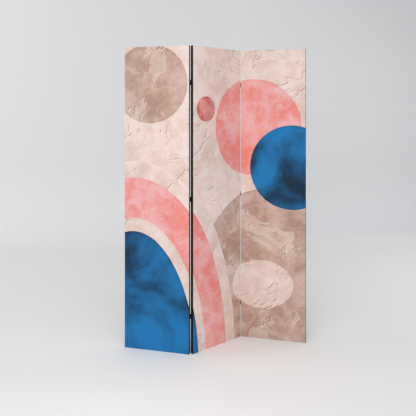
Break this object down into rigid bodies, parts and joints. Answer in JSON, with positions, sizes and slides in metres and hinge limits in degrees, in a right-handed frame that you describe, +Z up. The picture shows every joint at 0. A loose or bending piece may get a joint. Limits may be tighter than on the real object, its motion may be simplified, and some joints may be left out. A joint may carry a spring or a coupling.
{
  "type": "folding room divider",
  "caption": "Free-standing folding screen of tall canvas panels on wooden stretchers, hinged edge to edge so that it stands in a zigzag, opens flat and folds shut.",
  "frame": {"origin": "on the floor under the middle of the centre panel, which is the middle of the whole zigzag row", "axes": "+Z up; +X along the row from left to right as seen from the picture side; the pictures face -Y"},
  "size_m": [1.1054, 0.2901, 1.8],
  "materials": {
    "planed_pine": "planed, unfinished",
    "beech_dowel": "fluted, unfinished",
    "printed_canvas": "matt woven",
    "black_canvas_edge": "matt woven",
    "black_back_cloth": "matt nonwoven",
    "black_hinge_steel": "black lacquer",
    "staple_wire": "galvanised"
  },
  "bodies": {
    "left_panel": {"left_panel_left_stile": "planed_pine", "left_panel_right_stile": "planed_pine", "left_panel_bottom_rail": "planed_pine", "left_panel_top_rail": "planed_pine", "left_panel_lower_cross_rail": "planed_pine", "left_panel_upper_cross_rail": "planed_pine", "left_panel_dowels": "beech_dowel", "left_panel_picture_canvas": "printed_canvas", "left_panel_canvas_wraps": "black_canvas_edge", "left_panel_back_cloth": "black_back_cloth", "left_panel_staples": "staple_wire", "left_fold_top_hinge_outer_leaf": "black_hinge_steel", "left_fold_middle_hinge_outer_leaf": "black_hinge_steel", "left_fold_bottom_hinge_outer_leaf": "black_hinge_steel", "left_panel_hinge_screws": "black_hinge_steel"},
    "centre_panel": {"centre_panel_left_stile": "planed_pine", "centre_panel_right_stile": "planed_pine", "centre_panel_bottom_rail": "planed_pine", "centre_panel_top_rail": "planed_pine", "centre_panel_lower_cross_rail": "planed_pine", "centre_panel_upper_cross_rail": "planed_pine", "centre_panel_dowels": "beech_dowel", "centre_panel_picture_canvas": "printed_canvas", "centre_panel_canvas_wraps": "black_canvas_edge", "centre_panel_back_cloth": "black_back_cloth", "centre_panel_staples": "staple_wire", "left_fold_top_hinge_inner_leaf": "black_hinge_steel", "left_fold_top_hinge_pin": "black_hinge_steel", "left_fold_middle_hinge_inner_leaf": "black_hinge_steel", "left_fold_middle_hinge_pin": "black_hinge_steel", "left_fold_bottom_hinge_inner_leaf": "black_hinge_steel", "left_fold_bottom_hinge_pin": "black_hinge_steel", "right_fold_top_hinge_inner_leaf": "black_hinge_steel", "right_fold_top_hinge_pin": "black_hinge_steel", "right_fold_middle_hinge_inner_leaf": "black_hinge_steel", "right_fold_middle_hinge_pin": "black_hinge_steel", "right_fold_bottom_hinge_inner_leaf": "black_hinge_steel", "right_fold_bottom_hinge_pin": "black_hinge_steel", "centre_panel_left_hinge_screws": "black_hinge_steel", "centre_panel_right_hinge_screws": "black_hinge_steel"},
    "right_panel": {"right_panel_left_stile": "planed_pine", "right_panel_right_stile": "planed_pine", "right_panel_bottom_rail": "planed_pine", "right_panel_top_rail": "planed_pine", "right_panel_lower_cross_rail": "planed_pine", "right_panel_upper_cross_rail": "planed_pine", "right_panel_dowels": "beech_dowel", "right_panel_picture_canvas": "printed_canvas", "right_panel_canvas_wraps": "black_canvas_edge", "right_panel_back_cloth": "black_back_cloth", "right_panel_staples": "staple_wire", "right_fold_top_hinge_outer_leaf": "black_hinge_steel", "right_fold_middle_hinge_outer_leaf": "black_hinge_steel", "right_fold_bottom_hinge_outer_leaf": "black_hinge_steel", "right_panel_hinge_screws": "black_hinge_steel"}
  },
  "joints": [
    {"name": "left_fold", "type": "hinge", "parent": "centre_panel", "child": "left_panel", "pos_m": [-0.16158, -0.12465, 0], "axis": [0, 0, -1], "range_deg": [-60, 120]},
    {"name": "right_fold", "type": "hinge", "parent": "centre_panel", "child": "right_panel", "pos_m": [0.16158, 0.12465, 0], "axis": [0, 0, -1], "range_deg": [-60, 120]}
  ]
}
